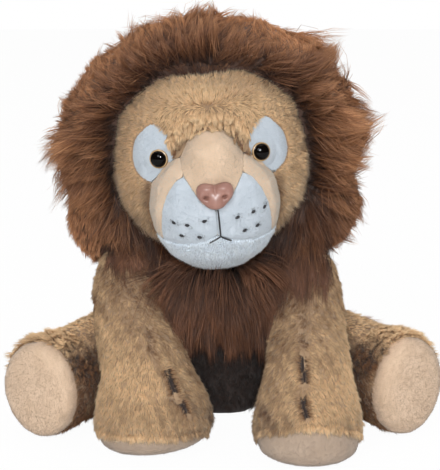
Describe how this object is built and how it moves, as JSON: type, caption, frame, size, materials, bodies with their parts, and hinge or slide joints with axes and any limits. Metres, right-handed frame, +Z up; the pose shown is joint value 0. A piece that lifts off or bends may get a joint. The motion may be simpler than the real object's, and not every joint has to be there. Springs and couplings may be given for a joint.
{
  "type": "plush lion",
  "caption": "Sitting stuffed lion with a long-pile mane and chest, a broad velour muzzle, plastic eyes and nose, and padded legs that give at their seams.",
  "frame": {"origin": "on the flat seat under the body, where the toy rests", "axes": "+X to the toy's own left, -Y the way it faces, +Z up"},
  "size_m": [0.3182, 0.2712, 0.2968],
  "materials": {
    "tan_plush": "medium pile plush",
    "brown_pile": "long pile",
    "peach_velour": "short velour",
    "white_velour": "short velour",
    "stuffing": "polyester fibre",
    "pellet_cloth": "woven pouch",
    "nose_plastic": "satin",
    "eye_plastic": "polished",
    "washer_plastic": "moulded",
    "black_thread": "sewn thread"
  },
  "bodies": {
    "body": {"body_skin": "tan_plush", "pellet_pouch": "pellet_cloth", "body_filling": "stuffing", "chest_pile": "brown_pile"},
    "front_leg_left": {"front_leg_left_skin": "tan_plush", "front_paw_pad_left": "peach_velour", "front_leg_left_filling": "stuffing"},
    "hind_leg_left": {"hind_leg_left_skin": "tan_plush", "hind_foot_pad_left": "peach_velour", "hind_leg_left_filling": "stuffing"},
    "front_leg_right": {"front_leg_right_skin": "tan_plush", "front_paw_pad_right": "peach_velour", "front_leg_right_filling": "stuffing"},
    "hind_leg_right": {"hind_leg_right_skin": "tan_plush", "hind_foot_pad_right": "peach_velour", "hind_leg_right_filling": "stuffing"},
    "tail": {"tail_skin": "tan_plush", "tail_filling": "stuffing", "tail_tuft": "brown_pile"},
    "head": {"head_skin": "tan_plush", "cheek_panel_left": "peach_velour", "muzzle_panel_left": "white_velour", "eye_patch_left": "white_velour", "eye_left": "eye_plastic", "eye_washer_left": "washer_plastic", "cheek_panel_right": "peach_velour", "muzzle_panel_right": "white_velour", "eye_patch_right": "white_velour", "eye_right": "eye_plastic", "eye_washer_right": "washer_plastic", "mane": "brown_pile", "nose_bridge_panel": "peach_velour", "chin_panel": "white_velour", "head_filling": "stuffing", "nose": "nose_plastic", "nose_washer": "washer_plastic", "mouth_stitch": "black_thread", "whisker_stitch_left_1": "black_thread", "whisker_stitch_left_2": "black_thread", "whisker_stitch_left_3": "black_thread", "whisker_stitch_left_4": "black_thread", "whisker_stitch_left_5": "black_thread", "whisker_stitch_right_1": "black_thread", "whisker_stitch_right_2": "black_thread", "whisker_stitch_right_3": "black_thread", "whisker_stitch_right_4": "black_thread", "whisker_stitch_right_5": "black_thread"}
  },
  "joints": [
    {"name": "neck_nod", "type": "hinge", "parent": "body", "child": "head", "pos_m": [-0.003, 0, 0.133], "axis": [1, 0, 0], "range_deg": [-8, 5], "stiffness_Nm_per_rad": 3},
    {"name": "shoulder_left", "type": "hinge", "parent": "body", "child": "front_leg_left", "pos_m": [0.049, -0.004, 0.108], "axis": [-1, 0, 0], "range_deg": [0, 25], "stiffness_Nm_per_rad": 0.3},
    {"name": "hip_left", "type": "hinge", "parent": "body", "child": "hind_leg_left", "pos_m": [0.055, 0.021, 0.038], "axis": [0, 0, 1], "range_deg": [0, 25], "stiffness_Nm_per_rad": 0.3},
    {"name": "shoulder_right", "type": "hinge", "parent": "body", "child": "front_leg_right", "pos_m": [-0.049, -0.004, 0.108], "axis": [-1, 0, 0], "range_deg": [0, 25], "stiffness_Nm_per_rad": 0.3},
    {"name": "hip_right", "type": "hinge", "parent": "body", "child": "hind_leg_right", "pos_m": [-0.055, 0.021, 0.038], "axis": [0, 0, -1], "range_deg": [0, 25], "stiffness_Nm_per_rad": 0.3},
    {"name": "tail_swing", "type": "hinge", "parent": "body", "child": "tail", "pos_m": [0, 0.076, 0.016], "axis": [0, 0, 1], "range_deg": [-20, 20], "stiffness_Nm_per_rad": 0.05}
  ]
}
